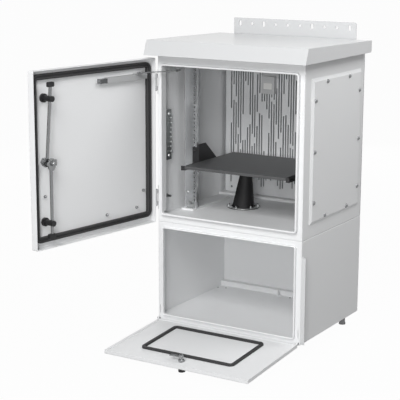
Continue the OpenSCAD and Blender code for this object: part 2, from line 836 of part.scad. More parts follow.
// Slots of one column: low end and length, spread by a running pattern
slot_count = floor((plate_w - 30) / slot_pitch);
slot_rows = plate_high - plate_low - 64;
function slot_split(i) = slot_rows * (0.5 + 0.2 * sin(i * 67));
function slot_room(i, k) = (k == 0 ? slot_split(i) : slot_rows - slot_split(i)) - 6;
function slot_len(i, k) = slot_room(i, k) * (0.5 + 0.22 * (1 + cos(i * 83 + k * 61)));
function slot_low(i, k) = plate_low + 32 + k * (slot_split(i) + 6)
    + (slot_room(i, k) - slot_len(i, k)) * (0.5 + 0.5 * sin(i * 47 + k * 131));
module back_plate() {
    color("gainsboro") difference() {
        translate([0, 0, (plate_low + plate_high) / 2]) in_xz(plate_y, sheet)
            round_rect(plate_w, plate_high - plate_low, 8);
        for (i = [0 : slot_count - 1], k = [0, 1]) {
            translate([(i - (slot_count - 1) / 2) * slot_pitch - slot_w / 2, plate_y - cut, slot_low(i, k)])
                cube([slot_w, sheet + 2 * cut, slot_len(i, k)]);
        }
        for (x = [-0.45, 0.45]) {
            translate([x * plate_w, plate_y - cut, plate_low + 20]) to_rear()
                cylinder(d = 9, h = sheet + 2 * cut);
        }
    }
}

// Spacers between the plate and the back wall, with a screw head on the plate
module plate_standoffs() {
    color("silver") for (x = [-1, 1], z = [plate_low + 13, plate_high - 13]) {
        translate([x * stand_x, plate_y + sheet, z]) to_rear() cylinder(d = 12, h = plate_stand);
        translate([x * stand_x, plate_y, z]) to_front() dome(13, 4);
    }
}

// Control box on the plate, with a top bracket
control_x = -86;
control_z = plate_high - control_h - control_drop;
module control_box() {
    color("gray") {
        translate([0, plate_y - control_d, 0]) in_xz(0, control_d)
            translate([control_x, control_z + control_h / 2]) round_rect(control_w, control_h, 5);
        translate([control_x - control_w / 2 - 7, plate_y - sheet, control_z + control_h - 8])
            cube([control_w + 14, sheet, 22]);
    }
}

module control_window() {
    t = 1.2;
    color("white") translate([control_x, 0, control_z + control_h * 0.45]) in_xz(plate_y - control_d - t, t)
        round_rect(control_w * 0.66, control_h * 0.36, 3);
}

// Earth bar on two posts on the left wall, with a row of clamping screws
earth_y = y_front + earth_back;
earth_z = z_seam + earth_bar_z;
earth_post = 8;
earth_bar_t = 6;
module earth_bar() {
    color("darkgray") translate([-body_w / 2 + sheet + earth_post, earth_y, earth_z])
        in_yz(0, earth_bar_t) round_rect(earth_bar_w, earth_bar_l, 2);
}

module earth_bar_posts() {
    color("gray") for (z = [-1, 1]) {
        translate([-body_w / 2 + sheet, earth_y, earth_z + z * (earth_bar_l / 2 - 16)]) {
            to_right() cylinder(d = 12, h = earth_post);
            translate([earth_post + earth_bar_t, 0, 0]) to_right() dome(11, 4);
        }
    }
}

module earth_bar_screws() {
    x = -body_w / 2 + sheet + earth_post + earth_bar_t;
    y = earth_y + earth_bar_w / 4;
    pitch = earth_bar_l / 10.5;
    color("gray") for (i = [-3.5 : 1 : 3.5]) {
        translate([x, y, earth_z + i * pitch]) to_right() {
            cylinder(d = 5, h = 9);
            translate([0, 0, 3]) cylinder(d = 10, h = 4, $fn = 6);
        }
    }
}

module earth_stud() {
    color("silver") translate([-body_w / 2 + sheet, earth_y, z_seam + earth_stud_z]) to_right() {
        cylinder(d = 8, h = 22);
        translate([0, 0, 3]) cylinder(d = 15, h = 6, $fn = 6);
    }
}

// Shelf: sheet with edges folded down all round
module shelf() {
    color([0.27, 0.28, 0.29]) difference() {
        folded_box(shelf_w, shelf_y, shelf_d, shelf_top - shelf_fold - fold_r, shelf_fold + fold_r, fold_r);
        translate([-shelf_w / 2 + sheet, shelf_y + sheet, shelf_top - shelf_fold - 2 * fold_r])
            cube([shelf_w - 2 * sheet, shelf_d - 2 * sheet, shelf_fold + 2 * fold_r - sheet]);
        translate([-shelf_w, shelf_y - cut, shelf_top - shelf_fold - 2 * fold_r])
            cube([2 * shelf_w, shelf_d + 2 * cut, 2 * fold_r]);
    }
}

// Heights of the bracket's screws above its lower edge
bracket_screws = [10, bracket_rise - 8];

// Shelf bracket on the right: side plate with a triangle, front tab on the rail and lip at the shelf's front
module shelf_bracket() {
    tab_w = rail_hole_x - bracket_x + 7;
    lip_w = 12;
    low = shelf_top - 17;
    high = shelf_top + bracket_rise;
    color([0.12, 0.12, 0.13]) {
        difference() {
            in_yz(shelf_w / 2, bracket_t) polygon([
                [shelf_y, low], [rail_y + bracket_l, low],
                [rail_y + bracket_l, shelf_top], [rail_y + 46, high],
                [rail_y - 3, high], [rail_y - 3, shelf_top], [shelf_y, shelf_top]
            ]);
            for (y = [shelf_y + 30, rail_y + 80]) {
                translate([shelf_w / 2 - cut, y, shelf_top - 6]) to_right()
                    cylinder(d = 5, h = bracket_t + 2 * cut);
            }
        }
        translate([bracket_x, rail_y - 3, low]) cube([tab_w, 3, high - low - 12]);
        for (z = bracket_screws) {
            translate([rail_hole_x, rail_y - 3, low + z]) to_front() dome(10, 4);
        }
        translate([bracket_x, shelf_y, low]) cube([lip_w, rail_y - 3 - shelf_y, 2]);
        translate([bracket_x, shelf_y, low]) cube([lip_w, 2, shelf_top - low]);
    }
}

module left_shelf_bracket() { mirror([1, 0, 0]) shelf_bracket(); }
module right_shelf_bracket() { shelf_bracket(); }

// Rubber cable boot: hollow leaning cone on a flat flange
boot_flange_t = 3;
boot_taper = (boot_top_d - boot_d) / (boot_h + 2 * boot_wall);
module boot_cone(shrink, past) {
    translate([boot_x, boot_y, z_upper_floor]) rotate([0, boot_lean, 0]) translate([0, 0, -2 * boot_wall])
        cylinder(
            d1 = boot_d - 2 * shrink,
            d2 = boot_top_d - 2 * shrink + boot_taper * past,
            h = boot_h + 2 * boot_wall + past
        );
}

module cable_boot() {
    color([0.13, 0.13, 0.14]) difference() {
        union() {
            intersection() {
                boot_cone(0, 0);
                translate([boot_x - boot_d, boot_y - boot_d, z_upper_floor])
                    cube([2 * boot_d, 2 * boot_d, 2 * boot_h]);
            }
            translate([boot_x, boot_y, z_upper_floor]) cylinder(d = boot_ring_d - 4, h = boot_flange_t);
        }
        boot_cone(boot_wall, boot_wall);
    }
}

// Steel ring that clamps the boot's flange
module boot_ring() {
    color("silver") translate([boot_x, boot_y, z_upper_floor + boot_flange_t]) difference() {
        cylinder(d = boot_ring_d, h = 2);
        translate([0, 0, -cut]) cylinder(d = boot_d + 6, h = 2 + 2 * cut);
    }
}

module boot_nuts() {
    ring_mid = (boot_ring_d + boot_d + 6) / 4;
    color("silver") for (a = [30 : 60 : 330]) {
        translate([boot_x, boot_y, z_upper_floor + boot_flange_t + 2]) rotate(a) translate([ring_mid, 0, 0]) {
            cylinder(d = 10, h = 5, $fn = 6);
            translate([0, 0, 5]) dome(9, 4);
        }
    }
}

// Middle heights of the two door hinges
hinge_zs = [door_z + hinge_inset, door_z + door_h - hinge_inset];
knuckle_gap = 1;
knuckle_one = knuckle_h / 4;

// Knuckle on the hinge axis with a bore for the pin, from z0 to z1
module knuckle(z0, z1, bore) {
    translate([hinge_x, hinge_y, z0]) difference() {
        cylinder(r = knuckle_r, h = z1 - z0);
        translate([0, 0, -cut]) cylinder(d = bore, h = z1 - z0 + 2 * cut);
    }
}

// Clear the pin's bore out of a tongue that joins a knuckle
module pin_bore(z, bore) {
    translate([hinge_x, hinge_y, z - knuckle_h]) cylinder(d = bore, h = 2 * knuckle_h);
}

module hinge_body_leaves() {
    leaf_t = 2.5;
    color("lightgray") for (z = hinge_zs) {
        translate([-body_w / 2 - leaf_t, y_front + fold_r, z - hinge_h / 2]) cube([leaf_t, leaf_l, hinge_h]);
        for (end = [[-knuckle_h / 2, -knuckle_one], [knuckle_one, knuckle_h / 2]]) {
            knuckle(z + end[0], z + end[1], hinge_pin_d + 2 * run_gap);
            difference() {
                translate([-body_w / 2 - leaf_t, hinge_y, z + end[0]])
                    cube([leaf_t, y_front + fold_r - hinge_y + cut, end[1] - end[0]]);
                pin_bore(z, hinge_pin_d + 2 * run_gap);
            }
        }
    }
}

module hinge_door_leaves() {
    door_side = -door_w / 2;
    tongue_x = hinge_x + hinge_pin_d / 2 + 0.6;
    color("lightgray") on_door() for (z = hinge_zs) {
        translate([door_side - 2.5, door_out_y + door_r, z - hinge_h / 2])
            cube([2.5, hinge_y - knuckle_r - 0.8 - door_out_y - door_r, hinge_h]);
        knuckle(z - knuckle_one + knuckle_gap, z + knuckle_one - knuckle_gap, hinge_pin_d + 2 * run_gap);
        difference() {
            translate([tongue_x, hinge_y - knuckle_r - 1.8, z - knuckle_one + knuckle_gap])
                cube([door_side - tongue_x, knuckle_r + 1.8, 2 * knuckle_one - 2 * knuckle_gap]);
            pin_bore(z, hinge_pin_d + 2 * run_gap);
        }
    }
}

module hinge_pins() {
    color("silver") for (z = hinge_zs) {
        translate([hinge_x, hinge_y, z - knuckle_h / 2]) cylinder(d = hinge_pin_d, h = knuckle_h);
        for (end = [-knuckle_h / 2 - 2, knuckle_h / 2]) {
            translate([hinge_x, hinge_y, z + end]) cylinder(r = knuckle_r - 0.5, h = 2);
        }
    }
}

// Bracket behind the front that carries the stay's pivot
module stay_bracket() {
    half = 12;
    tab_z = stay_z + stay_t + 0.5;
    color("lightgray") {
        translate([stay_px - half, y_front + sheet, tab_z]) cube([2 * half, 2.5, z_open_high + 40 - tab_z]);
        translate([stay_px - half, y_front + sheet, tab_z])
            cube([2 * half, stay_py + 9 - y_front - sheet, 2.5]);
        translate([stay_px, stay_py, stay_z - 3]) {
            cylinder(d = stay_pin_d, h = stay_t + 3.5);
            cylinder(d = stay_pin_d + 5, h = 2.5);
        }
    }
}

// Arm of the stay, lying in a layer of its own above the slider
module stay_arm() {
    color("lightgray") translate([stay_px, stay_py, stay_z]) rotate(stay_rest) difference() {
        union() {
            translate([0, -stay_w / 2, 0]) cube([stay_l, stay_w, stay_t]);
            cylinder(r = stay_w / 2 + 2, h = stay_t);
            translate([stay_l, 0, 0]) cylinder(r = stay_w / 2 + 1, h = stay_t);
        }
        translate([0, 0, -cut]) cylinder(d = stay_pin_d + 2 * run_gap, h = stay_t + 2 * cut);
    }
}

// Channel on the door in which the stay's slider runs, open at its top
module stay_channel() {
    l = channel_x1 - channel_x0;
    color("lightgray") on_door() translate([channel_x0, door_skin_y, channel_z]) difference() {
        cube([l, channel_d, channel_h]);
        translate([-cut, sheet, sheet]) cube([l + 2 * cut, channel_d - 2 * sheet, channel_h]);
    }
}

module stay_block() {
    color([0.2, 0.2, 0.21]) on_door() translate([channel_x1, door_skin_y, channel_z + 2])
        cube([stay_block_l, channel_d, channel_h - 4]);
}

// Slider in the channel, with a tab over the channel's edge that carries the stud under the arm
module stay_slider() {
    x = hinge_x + stay_open_s;
    y = door_skin_y + sheet + slide_gap;
    top = channel_z + channel_h + slide_gap;
    color("silver") on_door() {
        translate([x - 14, y, channel_z + sheet + slide_gap])
            cube([28, channel_d - 2 * sheet - 2 * slide_gap, top - channel_z - sheet - slide_gap]);
        translate([x - 8, y, top]) cube([16, stay_pin_y + 6 - y, stay_tab_t]);
        translate([x, stay_pin_y, top]) cylinder(d = stay_w, h = stay_tab_t + 0.3);
    }
}

// Folded door: skin with four edges
module door_pan() {
    color("gainsboro") on_door() difference() {
        folded_box(door_w, door_out_y, door_depth + door_r, door_z, door_h, door_r);
        translate([-door_w / 2 + sheet, door_skin_y, door_z + sheet])
            cube([door_w - 2 * sheet, door_depth + door_r, door_h - 2 * sheet]);
        translate([-door_w, door_lip_y, door_z - cut]) cube([2 * door_w, 2 * door_r, door_h + 2 * cut]);
        translate([lock_x, door_out_y - cut, lock_z]) to_rear()
            cylinder(d = spindle_d + 6, h = sheet + 2 * cut);
    }
}

// Gasket on the door: flat band with two ribs that meet the rim
module door_gasket() {
    rib_r = gasket_w / 5;
    color([0.22, 0.22, 0.22]) on_door() translate([0, door_skin_y, z_open_mid]) to_rear()
        rect_sweep(rim_path_w, rim_path_h, rim_path_r + gasket_w / 4) {
            union() {
                translate([-gasket_w / 2, 0]) square([gasket_w, gasket_t - rib_r]);
                for (x = [-1, 1]) {
                    translate([x * (gasket_w / 2 - rib_r), gasket_t - rib_r]) circle(rib_r);
                }
            }
        }
}

// Slanted frame of the upper rod: its middle line starts at the cam and leans towards the hinge side
module along_upper_rod() {
    translate([rod_up_x, 0, lock_z]) rotate([0, -rod_lean, 0]) children();
}

// Rod guides: posts on the door with a slot for each rod
module rod_guides() {
    gap = slide_gap;
    up_x = rod_up_x - (guide_up_z - lock_z) * tan(rod_lean);
    color([0.13, 0.13, 0.14]) on_door() difference() {
        for (p = [[up_x, guide_up_z], [rod_down_x, guide_down_z]]) {
            translate([p[0], door_skin_y, p[1]]) to_rear() {
                cylinder(d = guide_base_d, h = 9);
                cylinder(d = guide_d, h = guide_l);
            }
        }
        along_upper_rod() translate([-rod_w / 2 - gap, rod_up_y - gap, guide_up_z - lock_z - guide_base_d])
            cube([rod_w + 2 * gap, strip_t + 2 * gap, 2 * guide_base_d]);
        translate([rod_down_x - rod_w / 2 - gap, rod_down_y - gap, guide_down_z - guide_base_d])
            cube([rod_w + 2 * gap, strip_t + 2 * gap, 2 * guide_base_d]);
    }
}

// Yoke at the end of a rod: plate with a slot for the cam's pin, open downwards to pass the spindle
module yoke(arm) {
    left = spindle_d / 2 + 9;
    right = arm + pin_r + 5;
    h = 4 * pin_r + 2;
    relief = spindle_d + 5;
    linear_extrude(strip_t) difference() {
        translate([(right - left) / 2, 0]) round_rect(left + right, h, 4);
        translate([(arm - 3) / 2, 0]) round_rect(arm + 3 + 2 * pin_r + 1, 2 * pin_r + 1, pin_r);
        translate([-relief / 2, -h]) square([relief, h]);
    }
}

module upper_rod() {
    color("silver") on_door() {
        along_upper_rod() translate([-rod_w / 2, rod_up_y, 2 * pin_r - 2])
            cube([rod_w, strip_t, (shoe_up_z - lock_z) / cos(rod_lean) - 2 * pin_r + 2]);
        translate([lock_x, rod_up_y + strip_t, lock_z]) to_front() yoke(cam_up);
    }
}

// Shoe that the rod carries on its end, with a pocket for the rod
module upper_rod_shoe() {
    shoe_mid = rod_up_x - (shoe_up_z - lock_z) * tan(rod_lean);
    full_h = shoe_h + shoe_grip;
    color([0.13, 0.13, 0.14]) on_door() difference() {
        translate([shoe_mid, 0, shoe_up_z + shoe_h - full_h / 2]) in_xz(shoe_y, shoe_t)
            round_rect(shoe_w, full_h, 5);
        along_upper_rod() translate([-rod_w / 2, rod_up_y, 0])
            cube([rod_w, strip_t, (shoe_up_z - lock_z) / cos(rod_lean)]);
    }
}

module lower_rod() {
    color("silver") on_door() {
        translate([rod_down_x - rod_w / 2, rod_down_y, shoe_down_z + shoe_h])
            cube([rod_w, strip_t, lock_z - 2 * pin_r + 2 - shoe_down_z - shoe_h]);
        translate([lock_x, rod_down_y + strip_t, lock_z]) to_front() rotate(180) yoke(cam_down);
    }
}

module lower_rod_shoe() {
    full_h = shoe_h + shoe_grip;
    color([0.13, 0.13, 0.14]) on_door() difference() {
        translate([rod_down_x, 0, shoe_down_z + full_h / 2]) in_xz(shoe_y, shoe_t + 4)
            round_rect(shoe_w, full_h, 5);
        translate([rod_down_x - rod_w / 2, rod_down_y, shoe_down_z + shoe_h])
            cube([rod_w, strip_t, shoe_h]);
    }
}

// Bush that carries the spindle through the door's skin
module lock_bush() {
    bush_l = rod_up_y - door_out_y - 1;
    color("silver") on_door() translate([lock_x, door_out_y, lock_z]) to_rear() difference() {
        union() {
            cylinder(d = spindle_d + 5.8, h = bush_l);
            translate([0, 0, sheet]) cylinder(d = spindle_d + 14, h = bush_l - sheet);
            translate([0, 0, sheet]) cylinder(d = spindle_d + 22, h = 7, $fn = 6);
        }
        translate([0, 0, -cut]) cylinder(d = spindle_d + 2 * run_gap, h = bush_l + 2 * cut);
    }
}

// Spindle with the oval cam, its two pins and the nut on its end
module lock_cam() {
    reach = 2 * layer_gap + strip_t - 0.3;
    color("silver") on_door() translate([lock_x, 0, lock_z]) {
        translate([0, door_out_y - 9, 0]) to_rear() cylinder(d = spindle_d, h = cam_y - door_out_y + 9);
        translate([0, cam_y + strip_t, 0]) to_front() linear_extrude(strip_t) {
            translate([cam_up / 5, 2]) circle(16);
            translate([cam_up / 5, -10]) circle(16);
            translate([cam_up / 5 - 16, -10]) square([32, 12]);
            translate([-cam_down, 0]) circle(pin_r + 2);
            translate([cam_up, 0]) circle(pin_r + 2);
            translate([-cam_down, -pin_r - 2]) square([cam_up + cam_down, 2 * pin_r + 4]);
        }
        translate([cam_up, cam_y, 0]) to_front() cylinder(r = pin_r - 1, h = reach);
        translate([-cam_down, cam_y, 0]) to_front() cylinder(r = pin_r - 1, h = layer_gap - 0.3);
        translate([0, cam_y + strip_t, 0]) to_rear() cylinder(d = 19, h = 7, $fn = 6);
        translate([0, cam_y + strip_t + 7, 0]) to_rear() dome(spindle_d, 3);
    }
}

// Plate under the handle on the door's outside
handle_t = 8;
module handle_base() {
    mid = lock_z - handle_screw_drop / 2;
    color("darkgray") on_door() difference() {
        translate([lock_x, 0, mid]) in_xz(door_out_y - handle_t, handle_t)
            round_rect(34, handle_screw_drop + 60, 12);
        translate([lock_x, door_out_y - handle_t - cut, lock_z]) to_rear()
            cylinder(d = spindle_d + 2 * run_gap, h = handle_t + 2 * cut);
    }
}

// Lever on the spindle's outer end
module handle_lever() {
    lever_t = 14;
    y = door_out_y - handle_t - 1;
    color("dimgray") on_door() translate([lock_x, y, lock_z]) to_front() {
        cylinder(d = 30, h = lever_t + 4);
        translate([0, 0, 4]) linear_extrude(lever_t) translate([-lever_l / 2, 0]) round_rect(lever_l, 20, 8);
    }
}

// Nuts on the door's inside: the handle's lower screw and three blind fixings
door_nuts = [
    [lock_x, lock_z - handle_screw_drop],
    [-door_w / 2 + 44, door_z + 123.5],
    [-door_w / 2 + 80, door_z + 64.5],
    [-door_w / 2 + 235, door_z + 62.5]
];
module door_bolts() {
    color("silver") on_door() for (p = door_nuts) {
        translate([p[0], door_skin_y, p[1]]) to_rear() {
            cylinder(d = 11, h = 5, $fn = 6);
            translate([0, 0, 5]) dome(9, 4);
        }
    }
}

// Lugs on the lower body's front that carry the flap
module flap_lugs() {
    color("lightgray") both_sides() in_yz(lug_x, ear_t) difference() {
        union() {
            translate([flap_axis_y, flap_axis_z]) circle(ear_r);
            translate([flap_axis_y, flap_axis_z - ear_r]) square([y_front - flap_axis_y, 2 * ear_r]);
        }
        translate([flap_axis_y, flap_axis_z]) circle(flap_pin_d / 2 + run_gap);
    }
}

module flap_pins() {
    color("silver") both_sides() translate([flap_w / 2 - ear_t - 2, flap_axis_y, flap_axis_z]) {
        to_right() cylinder(d = flap_pin_d, h = 2 * ear_t + 4.5);
        translate([2 * ear_t + 2.5 + run_gap, 0, 0]) to_right() cylinder(d = flap_pin_d + 3, h = 2);
    }
}

// Flap's outer sheet: shallow pan with a hem folded in, whose end walls carry the hinge ears
module flap_panel() {
    hem_in = flap_in_y - flap_sheet;
    ear_top = flap_axis_z + ear_r;
    color("whitesmoke") on_flap() difference() {
        union() {
            difference() {
                folded_box(flap_w, flap_out_y, flap_t + fold_r, flap_low, flap_h, fold_r);
                translate([-flap_w / 2 + flap_sheet, flap_out_y + flap_sheet, flap_low + flap_sheet])
                    cube([flap_w - 2 * flap_sheet, flap_t - 2 * flap_sheet, flap_h - 2 * flap_sheet]);
                translate([0, 0, flap_low + flap_h / 2]) in_xz(hem_in - cut, flap_t)
                    round_rect(flap_w - 2 * flap_hem, flap_h - 2 * flap_hem, fold_r);
                translate([-flap_w, flap_in_y, flap_low - cut])
                    cube([2 * flap_w, 2 * fold_r, flap_h + 2 * cut]);
            }
            both_sides() in_yz(flap_w / 2 - ear_t, ear_t) {
                translate([flap_axis_y, flap_axis_z]) circle(ear_r);
                translate([flap_in_y - flap_t / 2, flap_low + flap_sheet])
                    square([flap_axis_y - flap_in_y + flap_t / 2, ear_top - flap_low - flap_sheet]);
            }
        }
        both_sides() translate([flap_w / 2 - 2 * ear_t, flap_axis_y, flap_axis_z]) to_right()
            cylinder(d = flap_pin_d + 2 * run_gap, h = 4 * ear_t);
        translate([flap_lock_x, flap_out_y - cut, flap_low + flap_lock_z]) to_rear()
            cylinder(d = flap_barrel_d, h = flap_t + 2 * cut);
    }
}

// Flap's inner sheet, fixed under the hem
module flap_liner() {
    lap = flap_hem / 2;
    color("whitesmoke") on_flap() difference() {
        translate([0, 0, flap_low + flap_h / 2]) in_xz(flap_in_y - 2 * flap_sheet, flap_sheet)
            round_rect(flap_w - 2 * lap, flap_h - 2 * lap, fold_r);
        translate([flap_lock_x, flap_out_y - cut, flap_low + flap_lock_z]) to_rear()
            cylinder(d = flap_barrel_d, h = flap_t + 2 * cut);
    }
}

// Gasket frame on the flap's inner sheet, rounded along its top edges
module flap_gasket() {
    edge = flap_gasket_s / 5;
    color([0.25, 0.25, 0.25]) on_flap()
        translate([0, flap_in_y - flap_sheet, flap_low + flap_gasket_z + flap_gasket_h / 2]) to_rear()
            rect_sweep(flap_gasket_w - flap_gasket_s, flap_gasket_h - flap_gasket_s, flap_gasket_s) {
                union() {
                    translate([-flap_gasket_s / 2, 0]) square([flap_gasket_s, flap_gasket_t - edge]);
                    translate([-flap_gasket_s / 2 + edge, 0]) square([flap_gasket_s - 2 * edge, flap_gasket_t]);
                    for (x = [-1, 1]) {
                        translate([x * (flap_gasket_s / 2 - edge), flap_gasket_t - edge]) circle(edge);
                    }
                }
            }
}

// Cam lock of the flap: barrel, nut, spindle, cam and end nut
module flap_lock() {
    in_l = flap_cam_y - flap_in_y;
    color("silver") on_flap() translate([flap_lock_x, 0, flap_low + flap_lock_z]) {
        translate([0, flap_out_y - 0.3, 0]) to_rear()
            cylinder(d = flap_barrel_d - 2 * run_gap, h = flap_t + 4);
        translate([0, flap_in_y - flap_sheet + 0.3, 0]) to_rear() cylinder(d = 24, h = 8, $fn = 6);
        translate([0, flap_in_y + 4, 0]) to_rear() cylinder(d = 12, h = in_l + 5);
        translate([-flap_cam_l, flap_cam_y, -7]) cube([flap_cam_l, 3, 14]);
        translate([0, flap_cam_y, 0]) to_rear() cylinder(d = 18, h = 3);
        translate([0, flap_cam_y + 3, 0]) to_rear() cylinder(d = 17, h = 6, $fn = 6);
    }
}

// Knob under the flap, on a short neck, with a rounded end
module flap_knob() {
    neck = 6;
    at = [flap_lock_x, flap_out_y - 0.3, flap_low + flap_lock_z];
    color([0.13, 0.13, 0.14]) on_flap() translate(at) to_front() {
        cylinder(d = flap_knob_d - 8, h = neck);
        translate([0, 0, neck]) cylinder(d = flap_knob_d, h = flap_knob_h - neck - 3);
        translate([0, 0, flap_knob_h - 3]) dome(flap_knob_d, 3);
    }
}

lower_body();
lower_back();
upper_body();
upper_back();
feet();
roof();
roof_wedges();
rear_flange();
flange_bolts();
side_cover();
side_cover_screws();
side_strip();
rear_sill();
earth_tab();
floor_angle();
rail_channels();
left_rail();
right_rail();
rail_fixings();
back_plate();
plate_standoffs();
control_box();
control_window();
earth_bar();
earth_bar_posts();
earth_bar_screws();
earth_stud();
shelf();
left_shelf_bracket();
right_shelf_bracket();
cable_boot();
boot_ring();
boot_nuts();
hinge_body_leaves();
hinge_pins();
stay_bracket();
flap_lugs();
flap_pins();
door_pan();
door_gasket();
hinge_door_leaves();
rod_guides();
lock_bush();
handle_base();
door_bolts();
stay_channel();
stay_block();
stay_slider();
stay_arm();
lock_cam();
handle_lever();
upper_rod();
upper_rod_shoe();
lower_rod();
lower_rod_shoe();
flap_panel();
flap_liner();
flap_gasket();
flap_lock();
flap_knob();
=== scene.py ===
"""Looks of the roadside utility cabinet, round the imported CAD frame.

Materials, small fasteners, camera and studio.
Lengths are in metres unless a name says otherwise, and angles in radians.
"""
import json
import math

import bpy
from mathutils import Matrix, Vector


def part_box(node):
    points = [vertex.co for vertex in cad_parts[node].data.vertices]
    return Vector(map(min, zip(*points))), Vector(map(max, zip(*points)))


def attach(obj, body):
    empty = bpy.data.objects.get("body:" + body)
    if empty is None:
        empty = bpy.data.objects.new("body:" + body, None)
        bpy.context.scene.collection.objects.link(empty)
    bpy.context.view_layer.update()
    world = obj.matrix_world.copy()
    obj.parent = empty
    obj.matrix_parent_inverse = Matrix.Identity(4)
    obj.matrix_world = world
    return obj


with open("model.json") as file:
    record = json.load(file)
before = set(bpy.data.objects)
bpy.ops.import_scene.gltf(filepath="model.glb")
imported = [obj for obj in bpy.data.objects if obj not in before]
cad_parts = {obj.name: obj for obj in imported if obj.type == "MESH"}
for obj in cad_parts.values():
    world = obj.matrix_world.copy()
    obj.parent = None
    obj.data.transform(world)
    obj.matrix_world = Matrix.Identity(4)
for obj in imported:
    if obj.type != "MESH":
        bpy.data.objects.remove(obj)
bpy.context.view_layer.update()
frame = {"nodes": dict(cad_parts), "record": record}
nodes = frame["nodes"]
scene = bpy.context.scene


# Camera, fitted to the photograph

FOCAL_PX = 1253.52
PHOTO_PX = 400.0
SENSOR_MM = 36.0
CAMERA_AT = Vector((2.21077, -4.05738, 1.51013))
YAW = 0.548313
PITCH = 0.214065
ROLL = 0.002618
CLIP_START = 0.1
CLIP_END = 60.0


def make_camera():
    """Camera at the photograph's place, angle and focal length."""
    level = math.cos(PITCH)
    look = Vector((-math.sin(YAW) * level, math.cos(YAW) * level, -math.sin(PITCH)))
    right = Vector((math.cos(YAW), math.sin(YAW), 0.0))
    up = right.cross(look)
    x = math.cos(ROLL) * right + math.sin(ROLL) * up
    y = -math.sin(ROLL) * right + math.cos(ROLL) * up
    data = bpy.data.cameras.new("photo_camera")
    data.sensor_width = SENSOR_MM
    data.lens = FOCAL_PX / PHOTO_PX * SENSOR_MM
    data.clip_start = CLIP_START
    data.clip_end = CLIP_END
    camera = bpy.data.objects.new("photo_camera", data)
    scene.collection.objects.link(camera)
    turn = Matrix((x, y, -look)).transposed()
    camera.matrix_world = Matrix.Translation(CAMERA_AT) @ turn.to_4x4()
    scene.camera = camera


# Materials

# Radius of the edges in the shading
PAINT_EDGE = 0.0008
METAL_EDGE = 0.0005
PLASTIC_EDGE = 0.0006
BEVEL_SAMPLES = 4

# Noise, with scales in cells per metre
PAINT_GRAIN_SCALE = 900.0
MOULD_GRAIN_SCALE = 1400.0
GRAIN_DETAIL = 2.0
CLOUD_SCALE = 35.0
CLOUD_DETAIL = 4.0
BUMP_DEPTH = 0.0002
PAINT_BUMP = 0.05

COAT_ROUGH = 0.15
BODY_COLOUR = (0.783, 0.790, 0.797)
# A face whose normal has a Y below this one looks to the front; on the back sheet it gets painted
# shade
FRONT_NORMAL_Y = -0.5


def new_material(name):
    """New node material; returns it with its tree and its Principled shader."""
    material = bpy.data.materials.new(name)
    material.use_nodes = True
    tree = material.node_tree
    return material, tree, tree.nodes["Principled BSDF"]


def add(tree, kind, **values):
    """New shader node with the given socket values."""
    node = tree.nodes.new(kind)
    for key, value in values.items():
        node.inputs[key.replace("_", " ")].default_value = value
    return node


def round_edges(tree, shader, radius, bump=None):
    """Softens the edges in the shading, and lays an optional bump over the rounded normal."""
    bevel = add(tree, "ShaderNodeBevel", Radius=radius)
    bevel.samples = BEVEL_SAMPLES
    if bump is None:
        tree.links.new(bevel.outputs["Normal"], shader.inputs["Normal"])
    else:
        tree.links.new(bevel.outputs["Normal"], bump.inputs["Normal"])
        tree.links.new(bump.outputs["Normal"], shader.inputs["Normal"])


def noise_bump(tree, scale, strength):
    """Bump from fine noise in object space."""
    place = tree.nodes.new("ShaderNodeTexCoord")
    noise = add(tree, "ShaderNodeTexNoise", Scale=scale, Detail=GRAIN_DETAIL)
    bump = add(tree, "ShaderNodeBump", Strength=strength, Distance=BUMP_DEPTH)
    tree.links.new(place.outputs["Object"], noise.inputs["Vector"])
    tree.links.new(noise.outputs["Fac"], bump.inputs["Height"])
    return bump


def paint(name, colour, rough, coat=0.0):
    """Powder-coated steel: satin, with a faint orange-peel surface."""
    material, tree, shader = new_material(name)
    shader.inputs["Base Color"].default_value = (*colour, 1.0)
    shader.inputs["Roughness"].default_value = rough
    shader.inputs["Coat Weight"].default_value = coat
    shader.inputs["Coat Roughness"].default_value = COAT_ROUGH
    round_edges(tree, shader, PAINT_EDGE, noise_bump(tree, PAINT_GRAIN_SCALE, PAINT_BUMP))
    return material


def metal(name, colour, rough, streak=0.08, metallic=1.0):
    """Plated steel with a faint cloudy change of roughness."""
    material, tree, shader = new_material(name)
    shader.inputs["Base Color"].default_value = (*colour, 1.0)
    shader.inputs["Metallic"].default_value = metallic
    place = tree.nodes.new("ShaderNodeTexCoord")
    noise = add(tree, "ShaderNodeTexNoise", Scale=CLOUD_SCALE, Detail=CLOUD_DETAIL)
    span = add(tree, "ShaderNodeMapRange", To_Min=rough - streak, To_Max=rough + streak)
    tree.links.new(place.outputs["Object"], noise.inputs["Vector"])
    tree.links.new(noise.outputs["Fac"], span.inputs["Value"])
    tree.links.new(span.outputs["Result"], shader.inputs["Roughness"])
    round_edges(tree, shader, METAL_EDGE)
    return material


def plastic(name, colour, rough, bump=0.0, shine=0.5):
    """Moulded plastic or rubber, with a fine grain where a bump is given."""
    material, tree, shader = new_material(name)
    shader.inputs["Base Color"].default_value = (*colour, 1.0)
    shader.inputs["Roughness"].default_value = rough
    shader.inputs["Specular IOR Level"].default_value = shine
    grain = noise_bump(tree, MOULD_GRAIN_SCALE, bump) if bump else None
    round_edges(tree, shader, PLASTIC_EDGE, grain)
    return material


